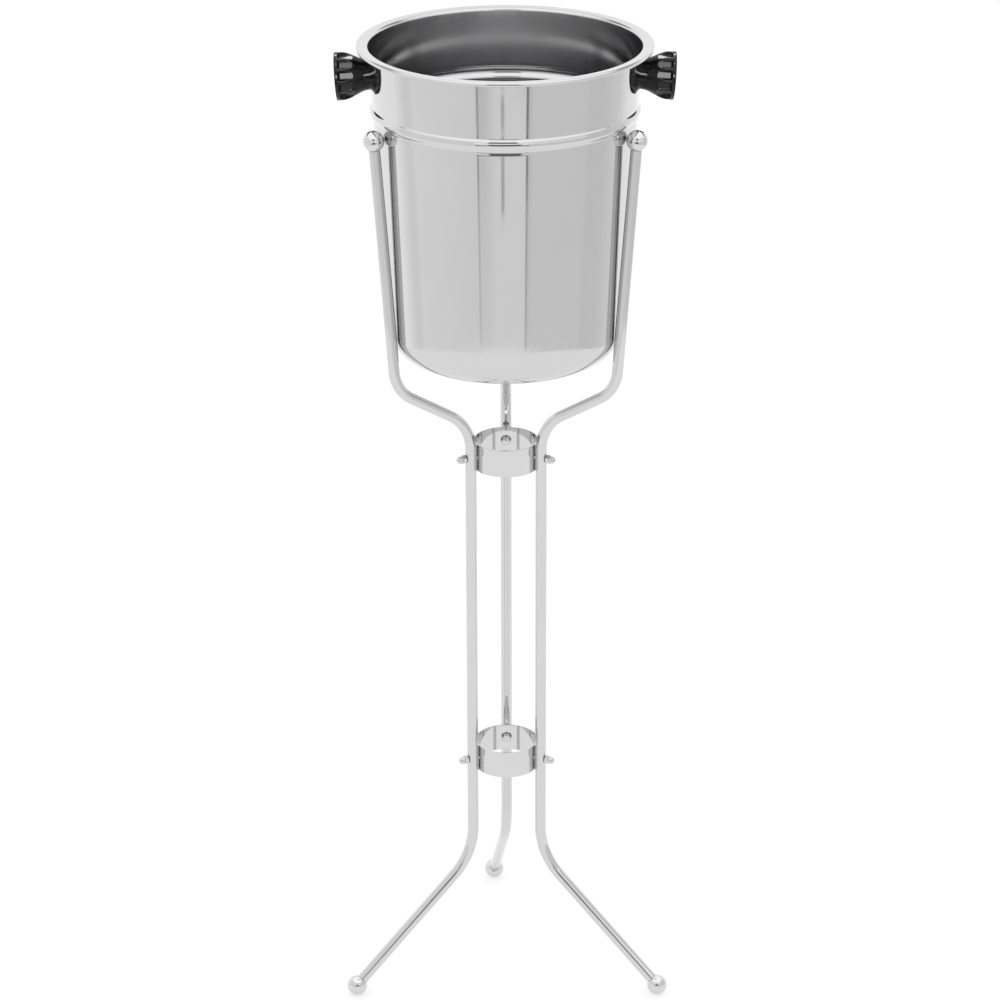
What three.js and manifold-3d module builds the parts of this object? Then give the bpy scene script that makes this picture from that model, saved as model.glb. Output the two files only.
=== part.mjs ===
// Champagne bucket on a three-legged floor stand of bent tube.
// Millimetres, +Z up. The origin is on the stand's centre line, at floor level.
// The bucket's two knobs lie on the X axis, and the stand's single back leg is on +Y.
import * as THREE from "three";
import { mergeVertices } from "three/addons/utils/BufferGeometryUtils.js";
import Module from "manifold-3d";

const wasm = await Module();
wasm.setup();

// ---------------------------------------------------------------- driving dimensions

const CLEARANCE = 0.3;              // between parts that touch on the real object

const BUCKET = {
  sheet: 0.8,
  baseZ: 578,                       // underside of the flat base
  cornerRadius: 28,
  waistRadius: 107.0,               // top of the tapered wall, under the bead
  wallTaper: 0.0508,                // radius lost per millimetre of height
  beadZ: 788.3,
  beadRadius: 109.3,                // crest of the bead round the waist
  beadSection: 6.1,
  collarFootRadius: 107.5,          // collar, just above the bead
  collarTopRadius: 110.2,
  rimRadius: 120,                   // outside of the rolled rim
  rimZ: 841.3,
  rimFillet: 3.2,
  rimCurl: 1.8,
  rimRise: 0.6,                     // how much the flange climbs towards its edge
};

const KNOB = {
  z: 815.2,                         // height where the knob's axis meets the collar
  droop: THREE.MathUtils.degToRad(3.7),
  length: 27,
  flutes: 10,
  fluteDepth: 1.9,
  fluteStart: 5,
  boreRadius: 4.5,
  boreDepth: 17,
};

const KNOB_FIXING = {
  shankRadius: 2.5,
  shankReach: 13,
  headRadius: 4.75,
  headHeight: 2.8,
  holeRadius: 2.8,
  washerRadius: 6,
  washerThickness: 1.0,
  washerSag: 0.2,                   // keeps a flat washer off the hollow side of the collar
  insertRadius: 4.2,
  insertLength: 15,
};

const TUBE = { radius: 4.75, bore: 3.75, outerSides: 14, boreSides: 10 };
const BALL = { radius: 8.65, seat: 7.0, spigotRadius: 3.25, spigotLength: 11 };

// Leg centreline in its own plane: distance from the stand's axis, and height.
const LEG_RUN = 32.6;               // axis of the vertical run
const LEG_FINIAL = [115.6, 774.5];
const LEG_SHOULDER = [99.8, 559.7];
const LEG_WAIST_Z = 518.2;
const LEG_KNEE_Z = 113.5;
const LEG_FOOT = [145.8, BALL.radius];
const BEND_RADIUS = { shoulder: 33, waist: 38, knee: 60 };
const BEND_STEP = THREE.MathUtils.degToRad(12);

// Direction of each leg about +Z, and how far its foot is twisted out of the leg's plane.
const LEGS = [
  { name: "front_left", azimuth: -154.5, footTwist: 0 },
  { name: "front_right", azimuth: -25.5, footTwist: 0 },
  { name: "back", azimuth: 90, footTwist: 6 },
];

const RING = { radius: 27.4, wall: 1.3, height: 23.9, segments: 36 };
const RINGS = [
  { name: "upper", topZ: 500.4 },
  { name: "lower", topZ: 218.9 },
];
const RING_SCREW = { shankRadius: 2, headRadius: 4, headHeight: 2.6, endRadius: 43.4, holeRadius: 2.3 };
const RING_NUT = { acrossFlats: 7, hexHeight: 3.2, height: 8, domeRadius: 3.1, boreDepth: 6.6 };

// ---------------------------------------------------------------- materials

function finish(color, roughness, metalness) {
  return new THREE.MeshStandardMaterial({ color, roughness, metalness });
}

const MATERIALS = {
  stainless: () => finish(0xc8c9ca, 0.12, 1),
  chrome: () => finish(0xd6d7d8, 0.08, 1),
  nickel: () => finish(0xbfc0c0, 0.18, 1),
  phenolic: () => finish(0x121213, 0.25, 0),
  brass: () => finish(0xb5904d, 0.3, 1),
  rubber: () => finish(0x1c1c1c, 0.8, 0),
};

// ---------------------------------------------------------------- solids

function toSolid(geometry) {
  const bare = geometry.index ? geometry.toNonIndexed() : geometry.clone();
  bare.deleteAttribute("normal");
  bare.deleteAttribute("uv");
  const merged = mergeVertices(bare, 1e-4);
  const triangles = [];
  for (let i = 0; i < merged.index.count; i += 3) {
    const [a, b, c] = [0, 1, 2].map((k) => merged.index.getX(i + k));
    if (a !== b && b !== c && c !== a) triangles.push(a, b, c);
  }
  return new wasm.Manifold(new wasm.Mesh({
    numProp: 3,
    vertProperties: new Float32Array(merged.attributes.position.array),
    triVerts: new Uint32Array(triangles),
  }));
}

function toGeometry(solid) {
  const mesh = solid.getMesh();
  const geometry = new THREE.BufferGeometry();
  geometry.setAttribute("position", new THREE.BufferAttribute(mesh.vertProperties, 3));
  geometry.setIndex(new THREE.BufferAttribute(mesh.triVerts, 1));
  geometry.computeVertexNormals();
  return geometry;
}

function cut(geometry, cutters) {
  let solid = toSolid(geometry);
  for (const cutter of cutters) solid = solid.subtract(toSolid(cutter));
  return toGeometry(solid);
}

function join(first, second) {
  return toGeometry(toSolid(first).add(toSolid(second)));
}

// A body turned about +Z, from a closed outline of [radius, height] points.
function turned(outline, segments) {
  const points = outline.map(([radius, height]) => new THREE.Vector2(radius, height));
  return new THREE.LatheGeometry(points, segments).rotateX(Math.PI / 2);
}

// A turned body whose axis lies along +X.
function turnedAlongX(outline, segments) {
  return turned(outline, segments).rotateY(Math.PI / 2);
}

// A plain rod along +X, for drilling.
function drill(radius, from, to, y = 0, z = 0) {
  const rod = new THREE.CylinderGeometry(radius, radius, to - from, 12).rotateZ(Math.PI / 2);
  return rod.translate((from + to) / 2, y, z);
}

// Points of an arc in the outline plane, both ends included.
function arc(centre, radius, from, to, steps) {
  return Array.from({ length: steps + 1 }, (_, i) => {
    const angle = from + ((to - from) * i) / steps;
    return [centre[0] + radius * Math.cos(angle), centre[1] + radius * Math.sin(angle)];
  });
}

// ---------------------------------------------------------------- bucket

// Where the half-round bead starts and ends on its section's circle, and the heights there.
function beadSection() {
  const b = BUCKET;
  const centre = b.beadRadius - b.beadSection;
  const from = -Math.acos((b.waistRadius - centre) / b.beadSection);
  const to = Math.acos((b.collarFootRadius - centre) / b.beadSection);
  const heightAt = (angle) => b.beadZ + b.beadSection * Math.sin(angle);
  return { centre, from, to, waistZ: heightAt(from), collarFootZ: heightAt(to) };
}

// Centre of the fillet between the collar and the rim's flange.
function rimFilletCentre() {
  const b = BUCKET;
  const flangeZ = b.rimZ - b.sheet - b.rimRise;
  return [b.collarTopRadius + b.rimFillet, flangeZ - b.rimFillet];
}

// The outer face of the drawn sheet, from the centre of the base to the curled edge of the rim.
function bucketOutline() {
  const b = BUCKET;
  const bead = beadSection();
  const slant = Math.atan(b.wallTaper);
  const cornerZ = b.baseZ + b.cornerRadius;
  const wallAtCorner = b.waistRadius - (bead.waistZ - cornerZ) * b.wallTaper;
  const cornerR = wallAtCorner - b.cornerRadius / Math.cos(slant);
  const curlInner = b.rimCurl - b.sheet;
  const curlCentre = [b.rimRadius - b.rimCurl, b.rimZ - b.rimCurl];

  return [
    [0, b.baseZ],
    ...arc([cornerR, cornerZ], b.cornerRadius, -Math.PI / 2, -slant, 6),
    ...arc([bead.centre, b.beadZ], b.beadSection, bead.from, bead.to, 4),
    ...arc(rimFilletCentre(), b.rimFillet, Math.PI, Math.PI / 2, 3),
    ...arc(curlCentre, curlInner, Math.PI / 2, -Math.PI / 2, 3),
  ];
}

// Closes an outer face into sheet of even thickness, on the face's left-hand side.
function sheetOutline(face, thickness) {
  const inner = face.map((point, i) => {
    const before = face[Math.max(i - 1, 0)];
    const after = face[Math.min(i + 1, face.length - 1)];
    const run = Math.hypot(after[0] - before[0], after[1] - before[1]);
    const across = (after[0] - before[0]) / run;
    const up = (after[1] - before[1]) / run;
    return [point[0] - up * thickness, point[1] + across * thickness];
  });
  return [...face, ...inner.reverse()];
}

function knobPlace(side) {
  const footZ = beadSection().collarFootZ;
  const up = (KNOB.z - footZ) / (rimFilletCentre()[1] - footZ);
  const radius = THREE.MathUtils.lerp(BUCKET.collarFootRadius, BUCKET.collarTopRadius, up);
  const turn = new THREE.Matrix4().makeRotationZ(side === "left" ? Math.PI : 0);
  const shift = new THREE.Matrix4().makeTranslation(radius, 0, KNOB.z);
  const tilt = new THREE.Matrix4().makeRotationY(KNOB.droop);
  return turn.multiply(shift).multiply(tilt);
}

function bucketShell() {
  const shell = turned(sheetOutline(bucketOutline(), BUCKET.sheet), 54);
  const holes = ["left", "right"].map((side) => {
    return drill(KNOB_FIXING.holeRadius, -6, 6).applyMatrix4(knobPlace(side));
  });
  return cut(shell, holes);
}

// ---------------------------------------------------------------- knobs, in a frame with +X outwards

function fluteAt(x) {
  const along = THREE.MathUtils.smoothstep(x, KNOB.fluteStart, KNOB.length * 0.8);
  return KNOB.fluteDepth * along;
}

function knobBody() {
  const side = new THREE.SplineCurve([
    new THREE.Vector2(12.3, CLEARANCE),
    new THREE.Vector2(12.8, 3.5),
    new THREE.Vector2(15.1, 9.5),
    new THREE.Vector2(18.4, 16),
    new THREE.Vector2(19.7, 21.5),
    new THREE.Vector2(19.3, 26.2),
  ]).getPoints(7).map((point) => [point.x, point.y]);
  const faceRadius = 18.2;
  const outline = [[0, CLEARANCE], ...side, [faceRadius, KNOB.length], [0, KNOB.length]];
  const body = turned(outline, KNOB.flutes * 4);

  const position = body.attributes.position;
  const point = new THREE.Vector3();
  for (let i = 0; i < position.count; i += 1) {
    point.fromBufferAttribute(position, i);
    const radius = Math.hypot(point.x, point.y);
    const wave = (1 - Math.cos(KNOB.flutes * Math.atan2(point.y, point.x))) / 2;
    const scale = radius > faceRadius / 2 ? 1 - (fluteAt(point.z) * wave) / radius : 1;
    position.setXYZ(i, point.x * scale, point.y * scale, point.z);
  }
  body.rotateY(Math.PI / 2);
  return cut(body, [drill(KNOB.boreRadius, -1, KNOB.boreDepth)]);
}

function knobInsert() {
  const f = KNOB_FIXING;
  const start = 2 * CLEARANCE;
  return turnedAlongX([
    [f.holeRadius, start],
    [f.insertRadius, start],
    [f.insertRadius, start + f.insertLength],
    [f.holeRadius, start + f.insertLength],
    [f.holeRadius, start],
  ], 16);
}

const WASHER_FACE = -(BUCKET.sheet + KNOB_FIXING.washerSag + CLEARANCE);
const SCREW_SEAT = WASHER_FACE - KNOB_FIXING.washerThickness - CLEARANCE;

function knobWasher() {
  const f = KNOB_FIXING;
  const back = WASHER_FACE - f.washerThickness;
  return turnedAlongX([
    [f.holeRadius, back],
    [f.washerRadius, back],
    [f.washerRadius, WASHER_FACE],
    [f.holeRadius, WASHER_FACE],
    [f.holeRadius, back],
  ], 20);
}

function knobScrew() {
  const f = KNOB_FIXING;
  const top = SCREW_SEAT - f.headHeight;
  return turnedAlongX([
    [0, top],
    [f.headRadius * 0.7, top + 0.2],
    [f.headRadius, SCREW_SEAT - 1.1],
    [f.headRadius, SCREW_SEAT],
    [f.shankRadius, SCREW_SEAT],
    [f.shankRadius, f.shankReach - 0.6],
    [f.shankRadius - 0.6, f.shankReach],
    [0, f.shankReach],
  ], 16);
}

// ---------------------------------------------------------------- legs, in a frame with +X outwards

// A centreline given by stations, so that straight runs take one step and bends take several.
class StationCurve extends THREE.Curve {
  constructor(stations) {
    super();
    this.stations = stations;
  }

  station(u) {
    return this.stations[Math.round(u * (this.stations.length - 1))];
  }

  getPointAt(u, target = new THREE.Vector3()) {
    return target.copy(this.station(u).point);
  }

  getTangentAt(u, target = new THREE.Vector3()) {
    return target.copy(this.station(u).tangent);
  }
}

// Stations along a bar bent at its corners to the given radii.
function bentBar(corners, radii) {
  const first = corners[0];
  const last = corners[corners.length - 1];
  const heading = (from, to) => to.clone().sub(from).normalize();
  const stations = [{ point: first, tangent: heading(first, corners[1]) }];
  radii.forEach((radius, i) => {
    const corner = corners[i + 1];
    const into = heading(corners[i], corner);
    const out = heading(corner, corners[i + 2]);
    const turn = into.angleTo(out);
    const setback = radius * Math.tan(turn / 2);
    const inward = out.clone().sub(into).normalize();
    const centre = corner.clone().addScaledVector(inward, radius / Math.cos(turn / 2));
    const start = corner.clone().addScaledVector(into, -setback).sub(centre);
    const axis = into.clone().cross(out).normalize();
    const steps = Math.ceil(turn / BEND_STEP);
    for (let k = 0; k <= steps; k += 1) {
      const angle = (turn * k) / steps;
      stations.push({
        point: start.clone().applyAxisAngle(axis, angle).add(centre),
        tangent: into.clone().applyAxisAngle(axis, angle),
      });
    }
  });
  stations.push({ point: last, tangent: heading(corners[corners.length - 2], last) });
  return stations;
}

function circlePoints(radius, sides) {
  return Array.from({ length: sides }, (_, i) => {
    const angle = (2 * Math.PI * i) / sides;
    return new THREE.Vector2(radius * Math.cos(angle), radius * Math.sin(angle));
  });
}

// Ball centres at the two ends of a leg, in the leg's frame.
function legCorners(footTwist) {
  const twist = THREE.MathUtils.degToRad(footTwist);
  const reach = LEG_FOOT[0] - LEG_RUN;
  return [
    new THREE.Vector3(LEG_FINIAL[0], 0, LEG_FINIAL[1]),
    new THREE.Vector3(LEG_SHOULDER[0], 0, LEG_SHOULDER[1]),
    new THREE.Vector3(LEG_RUN, 0, LEG_WAIST_Z),
    new THREE.Vector3(LEG_RUN, 0, LEG_KNEE_Z),
    new THREE.Vector3(LEG_RUN + reach * Math.cos(twist), reach * Math.sin(twist), LEG_FOOT[1]),
  ];
}

function towards(from, to, distance) {
  return from.clone().addScaledVector(to.clone().sub(from).normalize(), distance);
}

function ringHoleHeights() {
  return RINGS.map((ring) => ring.topZ - RING.height / 2);
}

function legTube(footTwist) {
  const corners = legCorners(footTwist);
  const endGap = BALL.seat + CLEARANCE;
  const bar = [
    towards(corners[0], corners[1], endGap),
    ...corners.slice(1, 4),
    towards(corners[4], corners[3], endGap),
  ];
  const path = new StationCurve(bentBar(bar, Object.values(BEND_RADIUS)));
  const section = new THREE.Shape(circlePoints(TUBE.radius, TUBE.outerSides));
  section.holes.push(new THREE.Path(circlePoints(TUBE.bore, TUBE.boreSides)));
  const tube = new THREE.ExtrudeGeometry(section, {
    steps: path.stations.length - 1,
    bevelEnabled: false,
    extrudePath: path,
  });
  const holes = ringHoleHeights().map((z) => {
    return drill(RING_SCREW.holeRadius, LEG_RUN - 7, LEG_RUN + 7, 0, z);
  });
  return cut(tube, holes);
}

// A ball with a spigot that plugs the tube. The spigot points along +Z.
function ball() {
  const seatAngle = Math.asin(BALL.seat / BALL.radius);
  return turned([
    ...arc([0, 0], BALL.radius, -Math.PI / 2, seatAngle, 7),
    [BALL.spigotRadius, BALL.seat],
    [BALL.spigotRadius, BALL.seat + BALL.spigotLength],
    [0, BALL.seat + BALL.spigotLength],
  ], 16);
}

// ---------------------------------------------------------------- rings and their fixings

function ring(topZ) {
  const inner = RING.radius - RING.wall;
  const bottomZ = topZ - RING.height;
  const band = turned([
    [inner, bottomZ],
    [RING.radius, bottomZ],
    [RING.radius, topZ],
    [inner, topZ],
    [inner, bottomZ],
  ], RING.segments);
  const middleZ = (topZ + bottomZ) / 2;
  const holes = LEGS.map(({ azimuth }) => {
    const hole = drill(RING_SCREW.holeRadius, inner - 4, RING.radius + 4, 0, middleZ);
    return hole.rotateZ(THREE.MathUtils.degToRad(azimuth));
  });
  return cut(band, holes);
}

function ringScrew() {
  const s = RING_SCREW;
  const seat = Math.sqrt((RING.radius - RING.wall) ** 2 - s.headRadius ** 2) - CLEARANCE;
  const top = seat - s.headHeight;
  return turnedAlongX([
    [0, top],
    [s.headRadius * 0.65, top + 0.3],
    [s.headRadius, seat - 1.2],
    [s.headRadius, seat],
    [s.shankRadius, seat],
    [s.shankRadius, s.endRadius],
    [0, s.endRadius],
  ], 12);
}

function ringNut() {
  const n = RING_NUT;
  const seat = LEG_RUN + TUBE.radius + CLEARANCE;
  const corner = n.acrossFlats / Math.sqrt(3);
  const hexagon = new THREE.CylinderGeometry(corner, corner, n.hexHeight, 6).rotateZ(Math.PI / 2);
  hexagon.translate(seat + n.hexHeight / 2, 0, 0);
  const domeCentre = seat + n.height - n.domeRadius;
  const dome = turnedAlongX([
    [0, seat + 1],
    [n.domeRadius, seat + 1],
    ...arc([0, domeCentre], n.domeRadius, 0, Math.PI / 2, 3),
  ], 12);
  return cut(join(hexagon, dome), [drill(RING_SCREW.holeRadius, seat - 1, seat + n.boreDepth)]);
}

// ---------------------------------------------------------------- assembly

function named(name, geometry, material) {
  const mesh = new THREE.Mesh(geometry, MATERIALS[material]());
  mesh.name = name;
  return mesh;
}

function knobSet(side) {
  const set = new THREE.Group();
  knobPlace(side).decompose(set.position, set.quaternion, set.scale);
  set.add(named(`knob_${side}`, knobBody(), "phenolic"));
  set.add(named(`knob_insert_${side}`, knobInsert(), "brass"));
  set.add(named(`knob_washer_${side}`, knobWasher(), "rubber"));
  set.add(named(`knob_screw_${side}`, knobScrew(), "nickel"));
  return set;
}

// Places a ball at one end of a leg with its spigot pointing up the tube.
function placeBall(mesh, centre, neighbour) {
  const up = new THREE.Vector3(0, 0, 1);
  mesh.position.copy(centre);
  mesh.quaternion.setFromUnitVectors(up, neighbour.clone().sub(centre).normalize());
  return mesh;
}

function legSet({ name, azimuth, footTwist }) {
  const set = new THREE.Group();
  const corners = legCorners(footTwist);
  set.rotation.z = THREE.MathUtils.degToRad(azimuth);
  set.add(named(`leg_${name}`, legTube(footTwist), "chrome"));
  set.add(placeBall(named(`finial_${name}`, ball(), "chrome"), corners[0], corners[1]));
  set.add(placeBall(named(`foot_${name}`, ball(), "chrome"), corners[4], corners[3]));
  ringHoleHeights().forEach((z, i) => {
    const level = RINGS[i].name;
    const screw = named(`ring_screw_${level}_${name}`, ringScrew(), "nickel");
    const nut = named(`ring_nut_${level}_${name}`, ringNut(), "nickel");
    screw.position.z = z;
    nut.position.z = z;
    set.add(screw, nut);
  });
  return set;
}

const stand = new THREE.Group();
for (const leg of LEGS) stand.add(legSet(leg));
for (const { name, topZ } of RINGS) stand.add(named(`ring_${name}`, ring(topZ), "chrome"));

const bucket = new THREE.Group();
bucket.add(named("bucket_shell", bucketShell(), "stainless"));
for (const side of ["left", "right"]) bucket.add(knobSet(side));

const group = new THREE.Group();
group.add(stand, bucket);

export default group;
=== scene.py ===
"""Looks of the champagne bucket and its floor stand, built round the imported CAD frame.

Shapes are written in millimetres, in the frame's axes, and scaled to metres as they become meshes.
"""
import math

import bmesh
import bpy
from mathutils import Matrix, Vector


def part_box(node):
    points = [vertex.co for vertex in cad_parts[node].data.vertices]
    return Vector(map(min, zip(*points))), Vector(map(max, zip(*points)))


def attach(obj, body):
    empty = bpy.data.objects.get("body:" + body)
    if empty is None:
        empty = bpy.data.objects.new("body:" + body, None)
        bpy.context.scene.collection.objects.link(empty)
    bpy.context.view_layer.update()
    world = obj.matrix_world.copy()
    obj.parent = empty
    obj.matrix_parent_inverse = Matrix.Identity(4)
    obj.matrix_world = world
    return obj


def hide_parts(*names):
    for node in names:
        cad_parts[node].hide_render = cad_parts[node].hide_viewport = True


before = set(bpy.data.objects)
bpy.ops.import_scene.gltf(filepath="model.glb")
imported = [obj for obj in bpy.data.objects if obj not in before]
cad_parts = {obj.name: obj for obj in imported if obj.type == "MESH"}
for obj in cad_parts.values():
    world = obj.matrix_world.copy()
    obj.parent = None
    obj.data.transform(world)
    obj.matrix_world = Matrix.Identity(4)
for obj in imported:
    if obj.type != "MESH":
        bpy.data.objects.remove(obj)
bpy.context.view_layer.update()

MM = 0.001


def span(node):
    """Lowest and highest corner of a CAD node, in millimetres."""
    low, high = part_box(node)
    return Vector(low) / MM, Vector(high) / MM


# ---------------------------------------------------------------- driving dimensions

SHELL_LOW, SHELL_HIGH = span("bucket_shell")
SHEET = 0.8
BASE_Z = SHELL_LOW.z
RIM_Z = SHELL_HIGH.z
RIM_RADIUS = (SHELL_HIGH.x - SHELL_LOW.x) / 2
CORNER_RADIUS = 28
WAIST_RADIUS = 107.0
WALL_TAPER = 0.0508
BEAD_Z = 788.3
BEAD_RADIUS = 109.3
BEAD_SECTION = 6.1
COLLAR_FOOT_RADIUS = 107.5
COLLAR_TOP_RADIUS = 110.2
COLLAR_TOP_DROP = 3.2
RIM_FILLET = 1.6
RIM_CURL = 1.8
RIM_RISE = 0.6
NECK_START = 6.0
NECK_DEPTH = 0.22
GROOVE_HEIGHT = 3.4

KNOB_Z = 815.2
KNOB_DROOP = math.radians(3.7)
KNOB_LENGTH = 27
KNOB_FLUTES = 12
KNOB_BORE = (4.5, 17)
GRIP = {"start": (9, 13), "end": (22.4, 24.6), "width": 0.92, "wall": 0.42, "floor": 16.6, "ease": 0.7}
KNOB_SEAT = -0.15
KNOB_NECK_RADIUS = 12.3
KNOB_WAIST = (15.4, 10)
KNOB_SHOULDER = (19.7, 21.5)
KNOB_EDGE = (19.55, 25.6)
KNOB_FACE_RADIUS = 19.45
CLEARANCE = 0.3

KNOB_SCREW = {"shank": 2.5, "reach": 13, "head": 4.75, "height": 2.8}
KNOB_WASHER = {"hole": 2.8, "radius": 6, "thickness": 1.0, "sag": 0.2}

TUBE_RADIUS = 4.75
TUBE_BORE = 3.75
BALL_RADIUS = 8.65
BALL_SEAT = 7.0
SPIGOT = (3.25, 11)

LEG_RUN = 32.6
LEG_FINIAL = (115.6, 774.5)
LEG_SHOULDER = (99.8, 559.7)
LEG_WAIST_Z = 518.2
LEG_KNEE_Z = 113.5
LEG_FOOT = (145.8, BALL_RADIUS)
BEND_RADII = (33, 38, 60)
LEGS = {"front_left": (-154.5, 0), "front_right": (-25.5, 0), "back": (90, 6)}

RING_WALL = 1.3
EASED_EDGE = 0.25
RING_SCREW = {"shank": 2, "reach": 43.4, "head": 4, "height": 2.6}
RING_NUT = {"across_flats": 7, "hex": 3.2, "height": 8, "dome": 3.1, "chamfer": 0.55}
TIP_CHAMFER = 0.5

# Facets round each round piece (for a knob, round each flute), and steps along each half of a knob's side.
SEGMENTS = {
    "bucket": 288, "knob_flute": 30, "ring": 144, "ball": 64, "washer": 64, "tube": 48, "fastener": 48,
}
KNOB_CURVE_STEPS = 24


# ---------------------------------------------------------------- camera, floor and light

CAMERA_PLACE = (0, -2.5705, 1.5378)
CAMERA_PITCH = math.radians(23.04)
CAMERA_YAW = math.radians(0.115)
CAMERA_ROLL = math.radians(-0.166)
LENS = 119.1


def place_camera():
    data = bpy.data.cameras.new("camera")
    data.lens = LENS
    data.sensor_width = 36
    data.clip_start = 0.1
    data.clip_end = 100
    camera = bpy.data.objects.new("camera", data)
    turn = Matrix.Rotation(CAMERA_YAW, 4, "Z")
    tilt = Matrix.Rotation(math.pi / 2 - CAMERA_PITCH, 4, "X")
    roll = Matrix.Rotation(CAMERA_ROLL, 4, "Z")
    camera.matrix_world = Matrix.Translation(CAMERA_PLACE) @ turn @ tilt @ roll
    bpy.context.scene.collection.objects.link(camera)
    bpy.context.scene.camera = camera


class Nodes:
    """Short calls for building a node tree."""

    def __init__(self, tree):
        self.tree = tree
        tree.nodes.clear()

    def add(self, kind, inputs=None, **settings):
        node = self.tree.nodes.new(kind)
        for key, value in settings.items():
            setattr(node, key, value)
        for key, value in (inputs or {}).items():
            if isinstance(value, bpy.types.NodeSocket):
                self.tree.links.new(value, node.inputs[key])
            else:
                node.inputs[key].default_value = value
        return node

    def math(self, operation, *values):
        node = self.add("ShaderNodeMath", dict(enumerate(values)), operation=operation)
        return node.outputs[0]

    def steps(self, value, low, high, to_low, to_high, kind="SMOOTHSTEP"):
        node = self.add("ShaderNodeMapRange", {
            "Value": value, "From Min": low, "From Max": high, "To Min": to_low, "To Max": to_high,
        }, interpolation_type=kind)
        return node.outputs[0]

    def ramp(self, value, stops):
        """Straight lines between (value, result) stops."""
        result = stops[0][1]
        for (start, a), (end, b) in zip(stops, stops[1:]):
            part = self.steps(value, start, end, 0, b - a, "LINEAR")
            result = self.math("ADD", result, part)
        return result

    def bearing(self, place):
        """Degrees right of the front, and height, of a place or direction."""
        axes = self.add("ShaderNodeSeparateXYZ", {0: place}).outputs
        towards = self.math("MULTIPLY", axes["Y"], -1)
        return self.math("DEGREES", self.math("ARCTAN2", axes["X"], towards)), axes["Z"]


# The studio: a bright dome, a floor, and a ring of boards round the stand that only shows in reflections.
# Directions are degrees right of the front, heights are metres.
DOME_HORIZON = 1.0
DOME_OVERHEAD = 1.4
DOME_FULL_ELEVATION = 70
DARK_BACK = {"azimuth": (108, 180), "elevation": (30, 41), "fade": (8, 3), "depth": 0.7}
DARK_FRONT = {"azimuth": (-14, 10), "elevation": (25, 38), "fade": (1, 2), "depth": 0.7}
FLOOR_GLOW = 0.62
FLOOR_PALENESS = 0.36
FLOOR_HALF = 30
LIGHT_BOUNCES = 24

BOARD_RADIUS = 1.35
BOARD_TOP = 1.45
BOARD_TONES = [
    (-180, 1.12), (-106, 1.12), (-93, 0.92), (-88, 0.9), (-82, 0.98), (-60, 0.95), (-25, 0.9), (-22, 0.93),
    (17.5, 0.93), (18.5, 0.83), (70, 0.83), (76, 0.78), (92, 0.79), (110, 0.88), (126, 1.1), (180, 1.12),
]
LEFT_SEAM = {"azimuth": -23.4, "line": (1.4, 0.4), "shade": (13, 0.18)}
RIGHT_SEAM = {"azimuth": 17.8, "line": (1.6, 0.66), "shade": (5, 0.12)}
SEAM_RISE = 0.9
SEAM_FADE = ((0.0, 0.35), (0.17, 0.55), (0.27, 1.0), (0.36, 1.0), (0.42, 0.0))
GAPS = [
    {"azimuth": (-23.4, 17.8), "blur": 1, "heights": (0.35, 0.5), "fade": 0.03, "depth": 0.8},
    {"azimuth": (-11, 11), "blur": 4, "heights": (0.5, 0.86), "fade": 0.03, "depth": 0.8},
    {"azimuth": (-14, 10), "blur": 1, "heights": (1.16, 1.45), "fade": 0.05, "depth": 0.75},
]
STRIP = {"azimuth": (-24, 66), "blur": 3, "heights": (0.95, 1.07), "fade": 0.03, "gain": 0.7}
STREAK = {"azimuth": -2.2, "half_width": 0.6, "soft": 1.6}
SHADES = [
    {**STREAK, "heights": (0.263, 0.293), "fade": 0.015, "depth": 0.42},
    {**STREAK, "heights": (0.19, 0.235), "fade": 0.02, "depth": 0.4},
]
KNOB_LAMPS = {"distance": 1.2, "size": (0.26, 0.8), "watts": {14: 7.0, 74: 2.6, 134: 6.0}}


def notch(nodes, value, centre, half_width, soft, depth):
    """1 away from the centre, and 1 - depth within half_width of it."""
    offset = nodes.math("ABSOLUTE", nodes.math("SUBTRACT", value, centre))
    return nodes.steps(offset, half_width, half_width + soft, 1 - depth, 1)


def between(nodes, value, low, high, soft):
    """1 between low and high, fading to 0 over soft outside them."""
    rise = nodes.steps(value, low - soft, low, 0, 1)
    fall = nodes.steps(value, high, high + soft, 1, 0)
    return nodes.math("MULTIPLY", rise, fall)


def darken(nodes, level, mask, depth):
    """Takes a share of depth off the level where the mask is 1."""
    return nodes.math("MULTIPLY", level, nodes.math("SUBTRACT", 1, nodes.math("MULTIPLY", mask, depth)))


def seam(nodes, azimuth, at):
    """How dark a seam is: a sharp line, then a soft shade on its right."""
    total = 0
    for width, depth in (at["line"], at["shade"]):
        start = at["azimuth"]
        edge = nodes.steps(azimuth, start - SEAM_RISE, start, 0, depth)
        tail = nodes.steps(azimuth, start + width * 0.3, start + width * 1.3, 1, 0)
        total = nodes.math("ADD", total, nodes.math("MULTIPLY", edge, tail))
    return total


def light_studio():
    world = bpy.data.worlds.new("studio")
    bpy.context.scene.world = world
    world.use_nodes = True
    nodes = Nodes(world.node_tree)
    azimuth, height = nodes.bearing(nodes.add("ShaderNodeTexCoord").outputs["Generated"])
    elevation = nodes.math("DEGREES", nodes.math("ARCSINE", height))
    dome = nodes.steps(elevation, 0, DOME_FULL_ELEVATION, DOME_HORIZON, DOME_OVERHEAD)
    glossy = nodes.add("ShaderNodeLightPath").outputs["Is Glossy Ray"]
    lit = dome
    for at, turn in ((DARK_BACK, nodes.math("ABSOLUTE", azimuth)), (DARK_FRONT, azimuth)):
        across = between(nodes, turn, *at["azimuth"], at["fade"][0])
        along = between(nodes, elevation, *at["elevation"], at["fade"][1])
        mask = nodes.math("MULTIPLY", nodes.math("MULTIPLY", across, along), glossy)
        lit = darken(nodes, lit, mask, at["depth"])
    background = nodes.add("ShaderNodeBackground", {"Color": (1, 1, 1, 1), "Strength": lit})
    nodes.add("ShaderNodeOutputWorld", {"Surface": background.outputs[0]})


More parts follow.
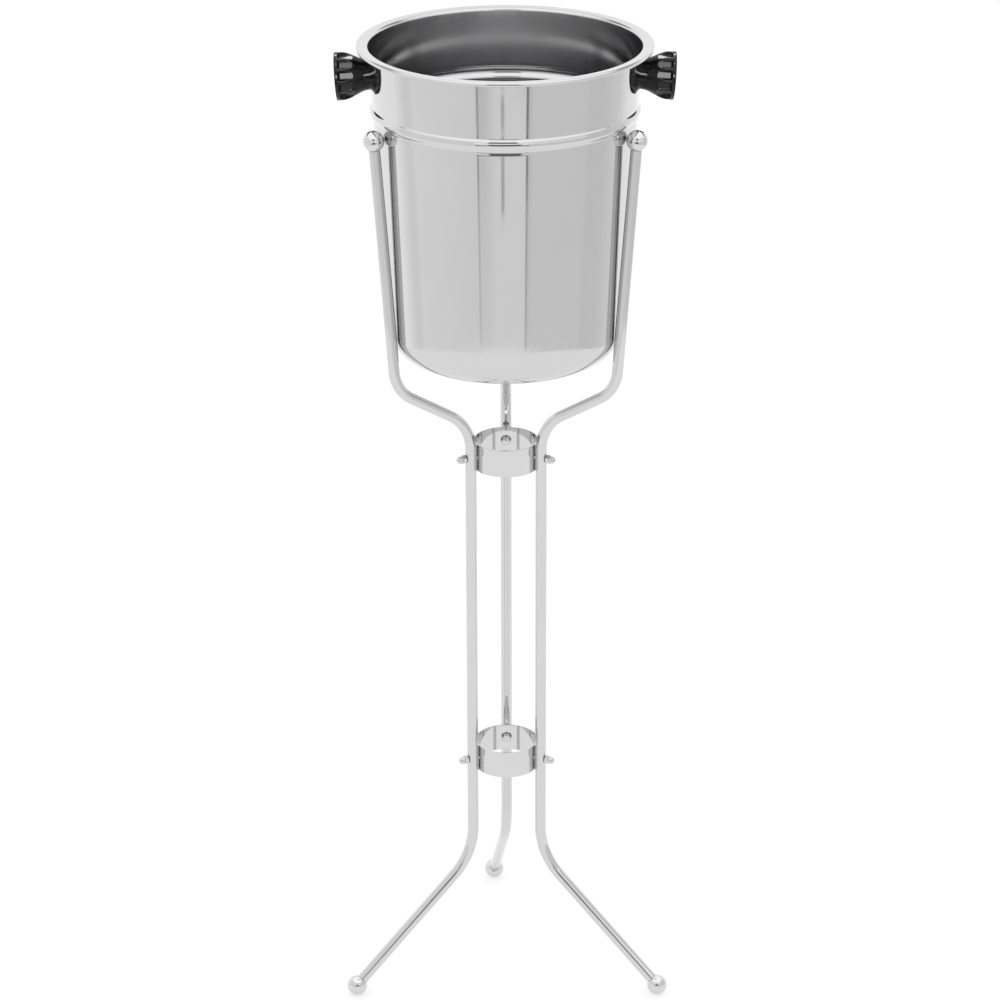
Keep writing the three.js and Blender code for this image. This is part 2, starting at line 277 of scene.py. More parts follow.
def stage_mesh(name, points, faces, material):
    mesh = bpy.data.meshes.new(name)
    mesh.from_pydata(points, [], faces)
    mesh.materials.append(material)
    item = bpy.data.objects.new(name, mesh)
    bpy.context.scene.collection.objects.link(item)
    return item


def board_material():
    material = bpy.data.materials.new("studio_boards")
    material.use_nodes = True
    nodes = Nodes(material.node_tree)
    place = nodes.add("ShaderNodeNewGeometry").outputs["Position"]
    azimuth, height = nodes.bearing(place)
    level = nodes.ramp(azimuth, BOARD_TONES)
    fade = nodes.ramp(height, SEAM_FADE)
    for at in (LEFT_SEAM, RIGHT_SEAM):
        level = darken(nodes, level, seam(nodes, azimuth, at), fade)
    for at in GAPS:
        across = between(nodes, azimuth, *at["azimuth"], at["blur"])
        along = between(nodes, height, *at["heights"], at["fade"])
        level = darken(nodes, level, nodes.math("MULTIPLY", across, along), at["depth"])
    strip = nodes.math(
        "MULTIPLY",
        between(nodes, azimuth, *STRIP["azimuth"], STRIP["blur"]),
        between(nodes, height, *STRIP["heights"], STRIP["fade"]),
    )
    level = darken(nodes, level, strip, -STRIP["gain"])
    for item in SHADES:
        across = notch(nodes, azimuth, item["azimuth"], item["half_width"], item["soft"], 1)
        along = between(nodes, height, *item["heights"], item["fade"])
        mask = nodes.math("MULTIPLY", nodes.math("SUBTRACT", 1, across), along)
        level = darken(nodes, level, mask, item["depth"])
    glow = nodes.add("ShaderNodeEmission", {"Color": (1, 1, 1, 1), "Strength": level})
    nodes.add("ShaderNodeOutputMaterial", {"Surface": glow.outputs[0]})
    return material


def stand_boards():
    """A ring of boards, seen by mirror reflections and by nothing else."""
    sides = 120
    turns = [2 * math.pi * i / sides for i in range(sides)]
    points = [
        (BOARD_RADIUS * math.cos(turn), BOARD_RADIUS * math.sin(turn), height)
        for height in (0, BOARD_TOP) for turn in turns
    ]
    faces = [(i, (i + 1) % sides, sides + (i + 1) % sides, sides + i) for i in range(sides)]
    boards = stage_mesh("studio_boards", points, faces, board_material())
    boards.visible_camera = False
    boards.visible_diffuse = False
    boards.visible_shadow = False
    boards.visible_transmission = False


def light_knobs():
    """Small softboxes that only the black knobs catch."""
    receivers = bpy.data.collections.new("knob_receivers")
    for elevation, watts in KNOB_LAMPS["watts"].items():
        lamp = bpy.data.lights.new(f"knob_lamp_{elevation}", "AREA")
        lamp.shape = "RECTANGLE"
        lamp.size, lamp.size_y = KNOB_LAMPS["size"]
        lamp.energy = watts
        turn = math.radians(elevation)
        heading = Vector((0, -math.cos(turn), math.sin(turn)))
        item = bpy.data.objects.new(lamp.name, lamp)
        place = Vector((0, 0, KNOB_Z * MM)) + heading * KNOB_LAMPS["distance"]
        item.matrix_world = Matrix.Translation(place) @ heading.to_track_quat("Z", "X").to_matrix().to_4x4()
        item.visible_camera = False
        item.visible_diffuse = False
        item.light_linking.receiver_collection = receivers
        bpy.context.scene.collection.objects.link(item)
    return receivers


def lay_floor():
    material = bpy.data.materials.new("pale_floor")
    material.use_nodes = True
    nodes = Nodes(material.node_tree)
    grain = stretched_noise(nodes, (40, 40, 40), 3.0)
    pale = tone(nodes, grain, (FLOOR_PALENESS * 0.99,) * 3, (FLOOR_PALENESS,) * 3)
    surface = nodes.add("ShaderNodeBsdfDiffuse", {"Color": pale})
    glow = nodes.add("ShaderNodeEmission", {"Color": (1, 1, 1, 1), "Strength": FLOOR_GLOW})
    both = nodes.add("ShaderNodeAddShader", {0: surface.outputs[0], 1: glow.outputs[0]})
    nodes.add("ShaderNodeOutputMaterial", {"Surface": both.outputs[0]})
    low, high = -FLOOR_HALF, FLOOR_HALF
    corners = [(low, low, 0), (high, low, 0), (high, high, 0), (low, high, 0)]
    stage_mesh("floor", corners, [(0, 1, 2, 3)], material)


def set_render():
    """Straight colours. The bucket's inside mirrors itself: many bounces, denoised by colour alone."""
    scene = bpy.context.scene
    scene.view_settings.view_transform = "Standard"
    scene.cycles.max_bounces = LIGHT_BOUNCES
    scene.cycles.glossy_bounces = LIGHT_BOUNCES
    scene.cycles.denoising_input_passes = "RGB"


# ---------------------------------------------------------------- materials


def principled(name, build):
    """A material whose Principled inputs come from build(nodes)."""
    material = bpy.data.materials.new(name)
    material.use_nodes = True
    nodes = Nodes(material.node_tree)
    shader = nodes.add("ShaderNodeBsdfPrincipled", build(nodes))
    nodes.add("ShaderNodeOutputMaterial", {"Surface": shader.outputs[0]})
    return material


def stretched_noise(nodes, scale, detail=2.0, roughness=0.5):
    """Noise on the object's own coordinates, with a scale per metre for each axis."""
    place = nodes.add("ShaderNodeTexCoord").outputs["Object"]
    stretched = nodes.add("ShaderNodeMapping", {"Vector": place, "Scale": scale}).outputs[0]
    noise = nodes.add("ShaderNodeTexNoise", {
        "Vector": stretched, "Scale": 1.0, "Detail": detail, "Roughness": roughness,
    })
    return noise.outputs["Fac"]


def tone(nodes, value, dark, light):
    """A colour between two greys."""
    ends = {"Factor": value, "A": dark + (1,), "B": light + (1,)}
    return nodes.add("ShaderNodeMix", ends, data_type="RGBA").outputs["Result"]


def inside_mask(nodes):
    """1 on faces that look inwards, towards the Z axis, or up from a bucket's base, and 0 elsewhere."""
    coordinates = nodes.add("ShaderNodeTexCoord").outputs
    place = nodes.add("ShaderNodeSeparateXYZ", {0: coordinates["Object"]}).outputs
    flat = nodes.add("ShaderNodeCombineXYZ", {"X": place["X"], "Y": place["Y"]}).outputs[0]
    outwards = nodes.add("ShaderNodeVectorMath", {0: flat}, operation="NORMALIZE").outputs[0]
    facing = nodes.add(
        "ShaderNodeVectorMath", {0: outwards, 1: coordinates["Normal"]}, operation="DOT_PRODUCT",
    ).outputs["Value"]
    upward = nodes.add("ShaderNodeSeparateXYZ", {0: coordinates["Normal"]}).outputs["Z"]
    wall = nodes.steps(facing, -0.75, -0.4, 1, 0)
    facing_up = nodes.steps(upward, 0.3, 0.6, 0, 1)
    low_down = nodes.steps(place["Z"], 0.65, 0.7, 1, 0)
    base = nodes.math("MULTIPLY", facing_up, low_down)
    return nodes.math("MAXIMUM", wall, base)


def metal(
    name, dark, light, smudge=(0.03, 0.08), ripple=0.05, ripple_scale=14, lines=None, satin=0, inner_painted_shade=1,
):
    """Polished metal: slightly uneven tone and gloss, long ripples, and fine working lines.

    satin is the roughness of its inner side, brushed round the Z axis, if that isn't polished, and
    inner_painted_shade is how light that side's colour is next to the outer one: painted shade, which
    darkens the inside of the bucket. The fine lines stop on that side.
    """

    def build(nodes):
        cloud = stretched_noise(nodes, (18, 18, 18), 4.0, 0.6)
        smear = stretched_noise(nodes, (60, 60, 25), 3.0, 0.6)
        wave = stretched_noise(nodes, (ripple_scale,) * 3, 1.0)
        bump = nodes.add("ShaderNodeBump", {"Height": wave, "Strength": ripple, "Distance": 0.002})
        normal = bump.outputs[0]
        inside = inside_mask(nodes) if satin else 0
        if lines:
            fine = stretched_noise(nodes, lines["scale"], 2.0)
            strength = lines["strength"]
            if satin:
                strength = nodes.steps(inside, 0, 1, strength, 0, "LINEAR")
            bump = nodes.add("ShaderNodeBump", {
                "Height": fine, "Strength": strength, "Distance": 0.0001, "Normal": normal,
            })
            normal = bump.outputs[0]
        gloss = nodes.steps(smear, 0.35, 0.7, smudge[0], smudge[1], "LINEAR")
        inputs = {"Base Color": tone(nodes, cloud, dark, light), "Metallic": 1.0, "Normal": normal}
        if not satin:
            return {**inputs, "Roughness": gloss}
        inputs["Roughness"] = nodes.add(
            "ShaderNodeMix", {"Factor": inside, "A": gloss, "B": satin},
        ).outputs["Result"]
        # Painted shade: the colour is scaled down on the inner side, so the inside of the bucket looks
        # darker.
        shade = nodes.steps(inside, 0, 1, 1, inner_painted_shade, "LINEAR")
        inputs["Base Color"] = nodes.add(
            "ShaderNodeVectorMath", {0: inputs["Base Color"], "Scale": shade}, operation="SCALE",
        ).outputs[0]
        inputs["Anisotropic"] = nodes.math("MULTIPLY", inside, 0.5)
        inputs["Anisotropic Rotation"] = 0.25
        inputs["Tangent"] = nodes.add("ShaderNodeTangent", direction_type="RADIAL", axis="Z").outputs[0]
        return inputs

    return principled(name, build)


def phenolic(name):
    """Glossy black moulding with faint handling marks."""

    def build(nodes):
        marks = stretched_noise(nodes, (220, 220, 220), 4.0, 0.65)
        flow = stretched_noise(nodes, (90, 90, 90), 2.0)
        bump = nodes.add("ShaderNodeBump", {"Height": marks, "Strength": 0.01, "Distance": 0.0002})
        return {
            "Base Color": tone(nodes, flow, (0.004, 0.004, 0.0045), (0.009, 0.009, 0.0095)),
            "Roughness": nodes.steps(marks, 0.3, 0.7, 0.07, 0.11, "LINEAR"),
            "Specular IOR Level": 0.32,
            "Normal": bump.outputs[0],
        }

    return principled(name, build)


def rubber(name):
    """Matte black washer rubber."""

    def build(nodes):
        grain = stretched_noise(nodes, (900, 900, 900), 4.0, 0.7)
        bump = nodes.add("ShaderNodeBump", {"Height": grain, "Strength": 0.3, "Distance": 0.0002})
        return {
            "Base Color": tone(nodes, grain, (0.02, 0.02, 0.02), (0.045, 0.045, 0.045)),
            "Roughness": nodes.steps(grain, 0.3, 0.7, 0.65, 0.85, "LINEAR"),
            "Normal": bump.outputs[0],
        }

    return principled(name, build)


def make_materials():
    round_lines = {"scale": (3, 3, 900), "strength": 0.015}
    return {
        "polished_stainless": metal(
            "polished_stainless", (0.61, 0.61, 0.615), (0.635, 0.635, 0.64), lines=round_lines, ripple=0.015,
            # The bucket's inside is painted a little darker than its outside: painted shade.
            satin=0.11, inner_painted_shade=0.96,
        ),
        "chromed_tube": metal(
            "chromed_tube", (0.61, 0.61, 0.615), (0.65, 0.65, 0.655), ripple=0.02, ripple_scale=40,
        ),
        "chromed_ball": metal(
            "chromed_ball", (0.64, 0.64, 0.645), (0.68, 0.68, 0.685), ripple=0.02, ripple_scale=90,
        ),
        "chromed_band": metal(
            "chromed_band", (0.62, 0.62, 0.625), (0.66, 0.66, 0.665), ripple=0.03, ripple_scale=60,
            lines={"scale": (20, 20, 1800), "strength": 0.03},
        ),
        "plated_fastener": metal(
            "plated_fastener", (0.56, 0.56, 0.56), (0.64, 0.64, 0.64), smudge=(0.06, 0.13),
            ripple=0.1, ripple_scale=300,
        ),
        "stainless_screw": metal(
            "stainless_screw", (0.5, 0.5, 0.505), (0.6, 0.6, 0.605), smudge=(0.16, 0.3),
            ripple=0.1, ripple_scale=300,
        ),
        "brass_insert": metal(
            "brass_insert", (0.5, 0.33, 0.12), (0.66, 0.46, 0.19), smudge=(0.2, 0.35),
            ripple=0.15, ripple_scale=400,
        ),
        "black_phenolic": phenolic("black_phenolic"),
        "sealing_washer": rubber("sealing_washer"),
    }


# ---------------------------------------------------------------- mesh building

SHARP = math.radians(38)
KNOB_SHARP = math.radians(70)


def finish_mesh(mesh, sharp=SHARP):
    """Turns faces outwards, shades smooth and keeps real edges sharp."""
    work = bmesh.new()
    work.from_mesh(mesh)
    bmesh.ops.recalc_face_normals(work, faces=work.faces)
    work.to_mesh(mesh)
    work.free()
    mesh.shade_smooth()
    mesh.set_sharp_from_angle(angle=sharp)
    mesh.update()


def add_piece(name, points, faces, place=None, sharp=SHARP):
    """An object from points in millimetres, moved by place."""
    place = place or Matrix.Identity(4)
    mesh = bpy.data.meshes.new(name)
    mesh.from_pydata([place @ Vector(point) * MM for point in points], [], faces)
    finish_mesh(mesh, sharp)
    piece = bpy.data.objects.new(name, mesh)
    bpy.context.scene.collection.objects.link(piece)
    return piece


def arc(centre, radius, start, end, steps):
    """Points of an arc in an outline, both ends included."""
    return [
        (centre[0] + radius * math.cos(angle), centre[1] + radius * math.sin(angle))
        for angle in (start + (end - start) * i / steps for i in range(steps + 1))
    ]


def turned(outline, segments, shape=None):
    """Points and faces of a body turned about Z. The outline ends on the axis or closes on itself.

    shape(radius, height, angle) can change a point's radius.
    """
    points, rings = [], []
    for radius, height in outline:
        if radius < 1e-6:
            rings.append([len(points)] * segments)
            points.append((0, 0, height))
            continue
        rings.append(list(range(len(points), len(points) + segments)))
        for i in range(segments):
            angle = 2 * math.pi * i / segments
            r = shape(radius, height, angle) if shape else radius
            points.append((r * math.cos(angle), r * math.sin(angle), height))
    if outline[0] == outline[-1]:
        rings[-1] = rings[0]
    faces = []
    for low, high in zip(rings, rings[1:]):
        for i in range(segments):
            j = (i + 1) % segments
            corners = [low[i], low[j], high[j], high[i]]
            face = [c for k, c in enumerate(corners) if c != corners[k - 1]]
            if len(face) > 2:
                faces.append(face)
    return points, faces


def sheet_outline(face, thickness):
    """Closes an outer face into sheet of even thickness, on its left-hand side."""
    inner = []
    for i, point in enumerate(face):
        before = face[max(i - 1, 0)]
        after = face[min(i + 1, len(face) - 1)]
        run = math.hypot(after[0] - before[0], after[1] - before[1])
        across = (after[0] - before[0]) / run
        up = (after[1] - before[1]) / run
        inner.append((point[0] - up * thickness, point[1] + across * thickness))
    return list(face) + inner[::-1]


def rounded(corners, radius, steps=4):
    """An open outline with each inner corner rounded."""
    result = [corners[0]]
    for before, corner, after in zip(corners, corners[1:], corners[2:]):
        a, b, c = Vector(before), Vector(corner), Vector(after)
        into, out = (b - a), (c - b)
        reach = min(radius, into.length * 0.45, out.length * 0.45)
        start, end = b - into.normalized() * reach, b + out.normalized() * reach
        for i in range(steps + 1):
            t = i / steps
            result.append(tuple(start * (1 - t) ** 2 + b * 2 * t * (1 - t) + end * t ** 2))
    return result + [corners[-1]]


def supported(outline, margin=0.4):
    """Adds a point near each end of the long straight stretches, so that they shade flat."""
    result = [outline[0]]
    for start, end in zip(outline, outline[1:]):
        length = math.dist(start, end)
        if length > 3 * margin:
            reach = [(b - a) * margin / length for a, b in zip(start, end)]
            result.append((start[0] + reach[0], start[1] + reach[1]))
            result.append((end[0] - reach[0], end[1] - reach[1]))
        result.append(end)
    return result


def band_outline(inner, outer, low, high):
    """Closed outline of a flat ring with eased edges."""
    middle = (inner + outer) / 2
    outline = rounded([
        (middle, low), (outer, low), (outer, high), (inner, high), (inner, low), (middle, low),
    ], EASED_EDGE, 3)
    outline[-1] = outline[0]
    return supported(outline)


def move(piece, place):
    """Moves a mesh, in metres, by a place in millimetres."""
    piece.data.transform(Matrix.Scale(1 / MM, 4))
    piece.data.transform(Matrix.Scale(MM, 4) @ place)


def combine(name, first, second, operation):
    """Boolean of two objects, as one object called name."""
    modifier = first.modifiers.new("join", "BOOLEAN")
    modifier.operation = operation
    modifier.solver = "EXACT"
    modifier.object = second
    evaluated = first.evaluated_get(bpy.context.evaluated_depsgraph_get())
    mesh = bpy.data.meshes.new_from_object(evaluated)
    for old in (first, second):
        bpy.data.objects.remove(old)
    finish_mesh(mesh)
    piece = bpy.data.objects.new(name, mesh)
    bpy.context.scene.collection.objects.link(piece)
    return piece


def dress(piece, body, slot, *nodes):
    """Gives a piece its material, body and the CAD nodes it stands for."""
    piece.data.materials.clear()
    piece.data.materials.append(MATERIALS[slot])
    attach(piece, body)
    if nodes:
        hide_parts(*nodes)
    return piece


# ---------------------------------------------------------------- bucket


def bead_ends():
    centre = BEAD_RADIUS - BEAD_SECTION
    start = -math.acos((WAIST_RADIUS - centre) / BEAD_SECTION)
    end = math.acos((COLLAR_FOOT_RADIUS - centre) / BEAD_SECTION)
    return centre, start, end


def collar_heights():
    """Heights where the collar leaves the bead, and where its top radius is measured."""
    return BEAD_Z + BEAD_SECTION * math.sin(bead_ends()[2]), RIM_Z - SHEET - RIM_RISE - COLLAR_TOP_DROP


def collar_radius(z):
    """Outer radius of the collar, which leans outwards a little."""
    foot_z, top_z = collar_heights()
    return COLLAR_FOOT_RADIUS + (COLLAR_TOP_RADIUS - COLLAR_FOOT_RADIUS) * (z - foot_z) / (top_z - foot_z)


def line(start, end, steps):
    """Points strictly between two outline points."""
    return [
        (start[0] + (end[0] - start[0]) * i / steps, start[1] + (end[1] - start[1]) * i / steps)
        for i in range(1, steps)
    ]


def curve(points, steps):
    """A smooth outline (a Catmull-Rom spline) through the points, both ends included."""
    result = []
    for i in range(len(points) - 1):
        a, b, c, d = (Vector(points[min(max(i + k, 0), len(points) - 1)]) for k in (-1, 0, 1, 2))
        for step in range(steps):
            t = step / steps
            linear = (c - a) * t
            square = (a * 2 - b * 5 + c * 4 - d) * t ** 2
            cube = (b * 3 - a - c * 3 + d) * t ** 3
            result.append(tuple((b * 2 + linear + square + cube) / 2))
    return result + [tuple(points[-1])]


def bucket_outline():
    """Outer face of the bucket's sheet, from the centre of its base to the curled edge of the rim."""
    slant = math.atan(WALL_TAPER)
    bead_r, bead_from, bead_to = bead_ends()
    waist_z = BEAD_Z + BEAD_SECTION * math.sin(bead_from)
    foot_z = collar_heights()[0]
    corner_z = BASE_Z + CORNER_RADIUS
    corner_r = WAIST_RADIUS - (waist_z - corner_z) * WALL_TAPER - CORNER_RADIUS / math.cos(slant)
    corner = arc((corner_r, corner_z), CORNER_RADIUS, -math.pi / 2, -slant, 24)
    bead = arc((bead_r, BEAD_Z), BEAD_SECTION, bead_from + 0.14, bead_to - 0.16, 24)
    neck = curve([
        (WAIST_RADIUS - NECK_START * WALL_TAPER, waist_z - NECK_START),
        (WAIST_RADIUS - 0.2, waist_z - 3.9),
        (WAIST_RADIUS - 0.2 - NECK_DEPTH, waist_z - 2.1),
        (WAIST_RADIUS - 0.18, waist_z - 0.7),
        bead[0],
    ], 6)
    groove_z = foot_z + GROOVE_HEIGHT
    groove = rounded([
        bead[-1], (COLLAR_FOOT_RADIUS, foot_z + 0.1), (collar_radius(groove_z), groove_z),
    ], 5, 10)[1:]
    fillet_z = RIM_Z - SHEET - RIM_RISE - RIM_FILLET
    fillet = arc((collar_radius(fillet_z) + RIM_FILLET, fillet_z), RIM_FILLET, math.pi, math.pi / 2, 10)
    curl_centre = (RIM_RADIUS - RIM_CURL, RIM_Z - RIM_CURL)
    curl = arc(curl_centre, RIM_CURL - SHEET, math.pi / 2, -math.pi / 2, 14)
    return (
        [(0, BASE_Z)] + line((0, BASE_Z), corner[0], 6) + corner
        + line(corner[-1], neck[0], 20) + neck + bead[1:] + groove
        + line(groove[-1], fillet[0], 8) + fillet
        + line(fillet[-1], curl[0], 3) + curl
    )


def make_bucket():
    points, faces = turned(sheet_outline(bucket_outline(), SHEET), SEGMENTS["bucket"])
    shell = add_piece("bucket", points, faces)
    dress(shell, "bucket", "polished_stainless", "bucket_shell")


# ---------------------------------------------------------------- knobs


def knob_place(side):
    """Frame of a knob: Z outwards from the collar, origin on the collar's outer face."""
    turn = Matrix.Rotation(math.pi if side == "left" else 0, 4, "Z")
    shift = Matrix.Translation((collar_radius(KNOB_Z), 0, KNOB_Z))
    tilt = Matrix.Rotation(math.pi / 2 + KNOB_DROOP, 4, "Y")
    return turn @ shift @ tilt


def knob_side():
    """Ogee from the neck to the outer face, as cubic curve points."""
    ends = [(KNOB_NECK_RADIUS, KNOB_SEAT), KNOB_WAIST, KNOB_SHOULDER]
    bends = [((12.5, 4.2), (13.9, 7.1)), ((17.4, 13.9), (19.5, 16.8))]
    result = []
    for start, end, (a, b) in zip(ends, ends[1:], bends):
        for i in range(KNOB_CURVE_STEPS):
            t = i / KNOB_CURVE_STEPS
            result.append(tuple(
                start[k] * (1 - t) ** 3
                + 3 * a[k] * t * (1 - t) ** 2 + 3 * b[k] * t * t * (1 - t)
                + end[k] * t ** 3
                for k in (0, 1)
            ))
    return result + [ends[-1]]


def smooth(value, low, high):
    """0 below low and 1 above high, eased between them."""
    t = min(max((value - low) / (high - low), 0), 1)
    return t * t * (3 - 2 * t)


def fluted(radius, height, angle):
    """Scoops the grips out of the knob's side: flat floors parallel to its axis, closed at both ends."""
    pitch = 2 * math.pi / KNOB_FLUTES
    offset = abs(angle / pitch % 1 - 0.5) * pitch
    edge = offset / (0.5 * GRIP["width"] * pitch)
    proud = radius - GRIP["floor"] / math.cos(offset)
    depth = (proud + math.hypot(proud, GRIP["ease"])) / 2
    along = smooth(height, *GRIP["start"]) * (1 - smooth(height, *GRIP["end"]))
    across = 1 - smooth(edge, 1 - GRIP["wall"], 1)
    return radius - depth * along * across


def make_knob(side, lit_by_lamps):
    place = knob_place(side)
    bore_radius, bore_depth = KNOB_BORE
    outline = (
        [(0, bore_depth), (bore_radius, bore_depth), (bore_radius, KNOB_SEAT)]
        + knob_side()[:-1] + line(KNOB_SHOULDER, KNOB_EDGE, 14)
        + rounded([KNOB_EDGE, (KNOB_FACE_RADIUS, KNOB_LENGTH), (0, KNOB_LENGTH)], 1.0, 6)
    )
    points, faces = turned(outline, KNOB_FLUTES * SEGMENTS["knob_flute"], fluted)
    neck = KNOB_LENGTH / 6
    seated = [
        (x, y, z - y * y / (2 * COLLAR_FOOT_RADIUS) * max(1 - z / neck, 0)) for x, y, z in points
    ]
    knob = add_piece(f"{side}_knob", seated, faces, place, sharp=KNOB_SHARP)
    lit_by_lamps.objects.link(knob)
    dress(knob, "bucket", "black_phenolic", f"knob_{side}")


# ---------------------------------------------------------------- legs and balls


def bent_bar(corners, radii, step):
    """Stations (point, heading) along a bar bent at its corners to the given radii."""
    headings = [(b - a).normalized() for a, b in zip(corners, corners[1:])]
    stations = [(corners[0], headings[0])]
    for corner, into, out, radius in zip(corners[1:], headings, headings[1:], radii):
        turn = into.angle(out)
        axis = into.cross(out).normalized()
        centre = corner + (out - into).normalized() * radius / math.cos(turn / 2)
        start = corner - into * radius * math.tan(turn / 2) - centre
        steps = math.ceil(turn / step)
        for i in range(steps + 1):
            swing = Matrix.Rotation(turn * i / steps, 3, axis)
            stations.append((centre + swing @ start, swing @ into))
    stations.append((corners[-1], headings[-1]))
    return stations


def pipe(stations, outer, bore, sides):
    """Points and faces of an open pipe along stations."""
    side = Vector((0, 1, 0)).cross(stations[0][1]).normalized()
    points = []
    for place, heading in stations:
        side = (side - heading * side.dot(heading)).normalized()
        other = heading.cross(side)
        for radius in (outer, bore):
            for i in range(sides):
                angle = 2 * math.pi * i / sides
                points.append(place + (side * math.cos(angle) + other * math.sin(angle)) * radius)
    faces = []
    rung = 2 * sides
    last = (len(stations) - 1) * rung
    for i in range(sides):
        j = (i + 1) % sides
        for base in range(0, last, rung):
            bore_base = base + sides
            faces.append((base + i, base + j, base + rung + j, base + rung + i))
            faces.append((bore_base + i, bore_base + rung + i, bore_base + rung + j, bore_base + j))
        for base in (0, last):
            faces.append((base + i, base + j, base + sides + j, base + sides + i))
    return points, faces


def leg_corners(twist):
    reach = LEG_FOOT[0] - LEG_RUN
    return [
        Vector((LEG_FINIAL[0], 0, LEG_FINIAL[1])),
        Vector((LEG_SHOULDER[0], 0, LEG_SHOULDER[1])),
        Vector((LEG_RUN, 0, LEG_WAIST_Z)),
        Vector((LEG_RUN, 0, LEG_KNEE_Z)),
        Vector((LEG_RUN + reach * math.cos(twist), reach * math.sin(twist), LEG_FOOT[1])),
    ]


def ball_outline():
    """A ball with a flat seat round its spigot, which points up."""
    seat = math.asin(BALL_SEAT / BALL_RADIUS)
    spigot_radius, spigot_length = SPIGOT
    tip = BALL_SEAT + spigot_length
    return arc((0, 0), BALL_RADIUS, -math.pi / 2, seat, 40) + rounded([
        (spigot_radius, BALL_SEAT), (spigot_radius, tip), (0, tip),
    ], 0.5)


def make_leg(name, azimuth, twist):
    turn = Matrix.Rotation(math.radians(azimuth), 4, "Z")
    corners = leg_corners(math.radians(twist))
    ends = []
    for end, neighbour, label in ((0, 1, "finial"), (4, 3, "foot")):
        heading = (corners[neighbour] - corners[end]).normalized()
        ends.append(corners[end] + heading * (BALL_SEAT + CLEARANCE))
        place = turn @ Matrix.Translation(corners[end]) @ heading.to_track_quat("Z", "Y").to_matrix().to_4x4()
        points, faces = turned(ball_outline(), SEGMENTS["ball"])
        ball = add_piece(f"{label}_ball_{name}", points, faces, place)
        dress(ball, "stand", "chromed_ball", f"{label}_{name}")
    bar = [ends[0]] + corners[1:4] + [ends[1]]
    stations = bent_bar(bar, BEND_RADII, math.radians(2.5))
    points, faces = pipe(stations, TUBE_RADIUS, TUBE_BORE, SEGMENTS["tube"])
    dress(add_piece(f"tube_{name}", points, faces, turn), "stand", "chromed_tube", f"leg_{name}")


# ---------------------------------------------------------------- rings and fasteners


def make_ring(level):
    low, high = span(f"ring_{level}")
    outer = (high.x - low.x) / 2
    outline = band_outline(outer - RING_WALL, outer, low.z, high.z)
    points, faces = turned(outline, SEGMENTS["ring"])
    dress(add_piece(f"band_{level}", points, faces), "stand", "chromed_band", f"ring_{level}")


def cross_recess(size, top, depth):
    """A cross-shaped punch pointing down into a screw head, as points and faces."""
    half, arm, slope = 0.16 * size, 0.62 * size, 0.55
    outline = [
        (half, half), (half, arm), (-half, arm), (-half, half), (-arm, half), (-arm, -half),
        (-half, -half), (-half, -arm), (half, -arm), (half, -half), (arm, -half), (arm, half),
    ]
    points = [(x, y, top - 1) for x, y in outline]
    points += [(x * slope, y * slope, top + depth) for x, y in outline]
    count = len(outline)
    faces = [tuple(range(count)), tuple(range(2 * count - 1, count - 1, -1))]
    faces += [(i, (i + 1) % count, count + (i + 1) % count, count + i) for i in range(count)]
    return points, faces


def shank_outline(size):
    """Outline of a screw's shank, from near its chamfered tip to the tip's centre."""
    radius, reach = size["shank"], size["reach"]
    return [(radius, reach - TIP_CHAMFER), (radius - TIP_CHAMFER, reach), (0, reach)]


def make_dome_screw(name, size, seat, place, slot, node, body):
    """A round head screw along +Z, with its plain dome below the seat."""
    top, radius = seat - size["height"], size["head"]
    head = rounded([(0, top), (radius * 0.98, top + 0.25), (radius, seat), (size["shank"], seat)], 1.5, 8)
    points, faces = turned(supported(head + shank_outline(size)), SEGMENTS["fastener"])
    dress(add_piece(name, points, faces, place), body, slot, node)


def make_screw(name, size, seat, place, slot, node, body):
    """A pan head screw along +Z, with its head below the seat and a cross recess in it."""
    top = seat - size["height"]
    head = [
        (0, top), (size["head"] * 0.45, top + 0.06), (size["head"] * 0.8, top + 0.5),
        (size["head"], seat - size["height"] * 0.42), (size["head"], seat), (size["shank"], seat),
    ]
    outline = rounded(head + shank_outline(size), 0.45, 4)
    points, faces = turned(supported(outline), SEGMENTS["fastener"])
    blank = add_piece("screw_blank", points, faces)
    points, faces = cross_recess(size["head"], top, size["height"] * 0.6)
    punch = add_piece("screw_punch", points, faces)
    screw = combine(name, blank, punch, "DIFFERENCE")
    move(screw, place)
    dress(screw, body, slot, node)


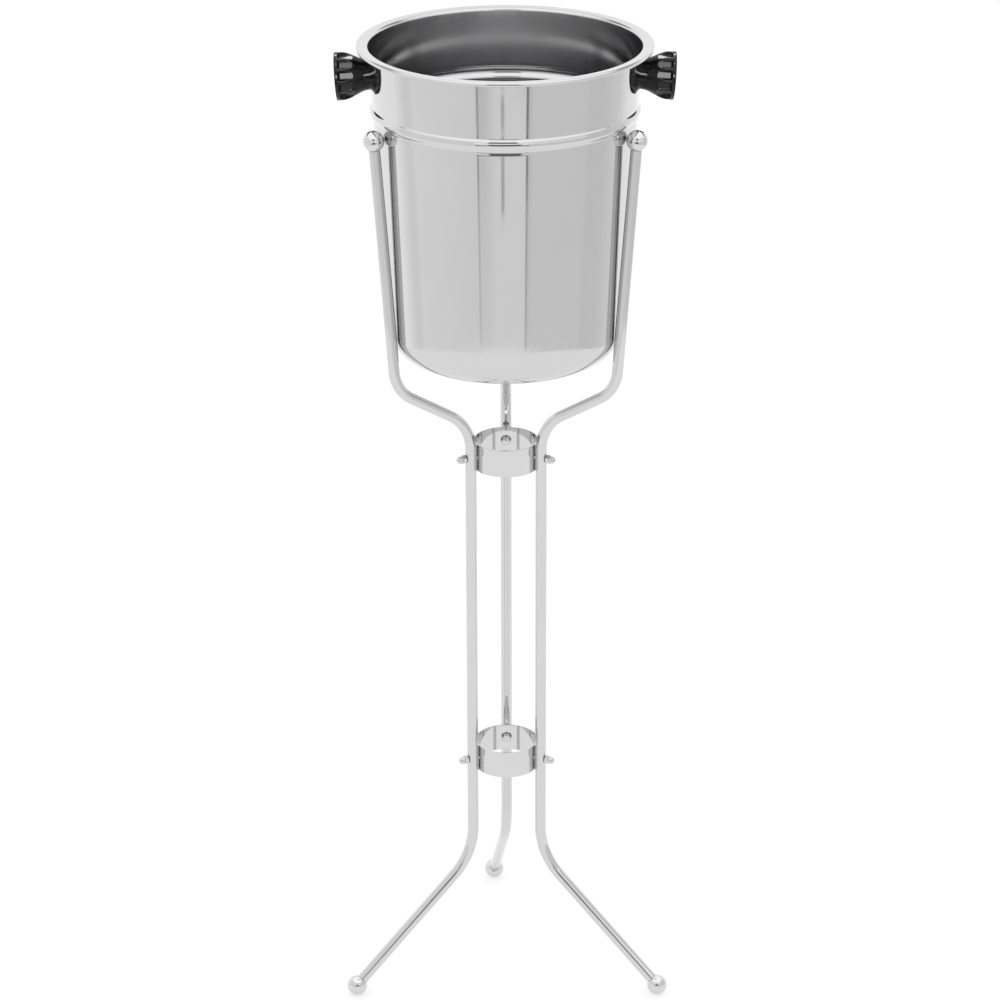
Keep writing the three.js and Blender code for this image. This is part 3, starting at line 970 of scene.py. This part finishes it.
def make_nut(name, seat, place, node):
    """An acorn nut along +Z from its seat: chamfered hexagon, then a dome."""
    flat = RING_NUT["across_flats"] / 2
    corner = flat / math.cos(math.pi / 6)
    hexagon = [(corner * math.cos(math.pi * k / 3), corner * math.sin(math.pi * k / 3)) for k in range(6)]
    top = seat + RING_NUT["hex"]
    points = [(x, y, z) for z in (seat, top) for x, y in hexagon]
    faces = [tuple(range(6)), tuple(range(11, 5, -1))]
    faces += [(k, (k + 1) % 6, 6 + (k + 1) % 6, 6 + k) for k in range(6)]
    prism = add_piece("nut_prism", points, faces)
    dome = RING_NUT["dome"]
    tip = seat + RING_NUT["height"]
    chamfer = RING_NUT["chamfer"]
    body = [
        (0, seat), (flat + 0.05, seat), (corner + 0.1, seat + chamfer),
        (corner + 0.1, top - chamfer), (flat + 0.05, top), (0, top),
    ]
    points, faces = turned(body, SEGMENTS["fastener"])
    base = combine("nut_base", prism, add_piece("nut_turned", points, faces), "INTERSECT")
    cap = [(0, seat + 1), (dome, seat + 1)] + arc((0, tip - dome), dome, 0, math.pi / 2, 12)
    points, faces = turned(cap[:-1] + [(0, tip)], SEGMENTS["fastener"])
    nut = combine(name, base, add_piece("nut_dome", points, faces), "UNION")
    move(nut, place)
    dress(nut, "stand", "plated_fastener", node)


def make_ring_fixings(name, azimuth):
    turn = Matrix.Rotation(math.radians(azimuth), 4, "Z")
    for level in ("upper", "lower"):
        low, high = span(f"ring_{level}")
        inner = (high.x - low.x) / 2 - RING_WALL
        lift = Matrix.Translation((0, 0, (low.z + high.z) / 2))
        place = turn @ lift @ Matrix.Rotation(math.pi / 2, 4, "Y")
        seat = math.sqrt(inner ** 2 - RING_SCREW["head"] ** 2) - CLEARANCE
        make_dome_screw(
            f"dome_screw_{level}_{name}", RING_SCREW, seat, place, "plated_fastener",
            f"ring_screw_{level}_{name}", "stand",
        )
        make_nut(
            f"acorn_nut_{level}_{name}", LEG_RUN + TUBE_RADIUS + CLEARANCE, place, f"ring_nut_{level}_{name}",
        )


def make_knob_fixing(side):
    place = knob_place(side)
    face = -(SHEET + KNOB_WASHER["sag"] + CLEARANCE)
    back = face - KNOB_WASHER["thickness"]
    outline = band_outline(KNOB_WASHER["hole"], KNOB_WASHER["radius"], back, face)
    points, faces = turned(outline, SEGMENTS["washer"])
    dress(
        add_piece(f"{side}_washer", points, faces, place), "bucket", "sealing_washer", f"knob_washer_{side}",
    )
    make_screw(
        f"{side}_knob_screw", KNOB_SCREW, back - CLEARANCE, place, "stainless_screw",
        f"knob_screw_{side}", "bucket",
    )


def dress_inserts():
    for side in ("left", "right"):
        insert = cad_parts[f"knob_insert_{side}"]
        for material_slot in insert.material_slots:
            material_slot.material = MATERIALS["brass_insert"]


# ---------------------------------------------------------------- assembly

place_camera()
light_studio()
stand_boards()
lay_floor()
set_render()

MATERIALS = make_materials()

make_bucket()
knob_receivers = light_knobs()
for side in ("left", "right"):
    make_knob(side, knob_receivers)
    make_knob_fixing(side)
for leg_name, (leg_azimuth, foot_twist) in LEGS.items():
    make_leg(leg_name, leg_azimuth, foot_twist)
    make_ring_fixings(leg_name, leg_azimuth)
for level in ("upper", "lower"):
    make_ring(level)
dress_inserts()
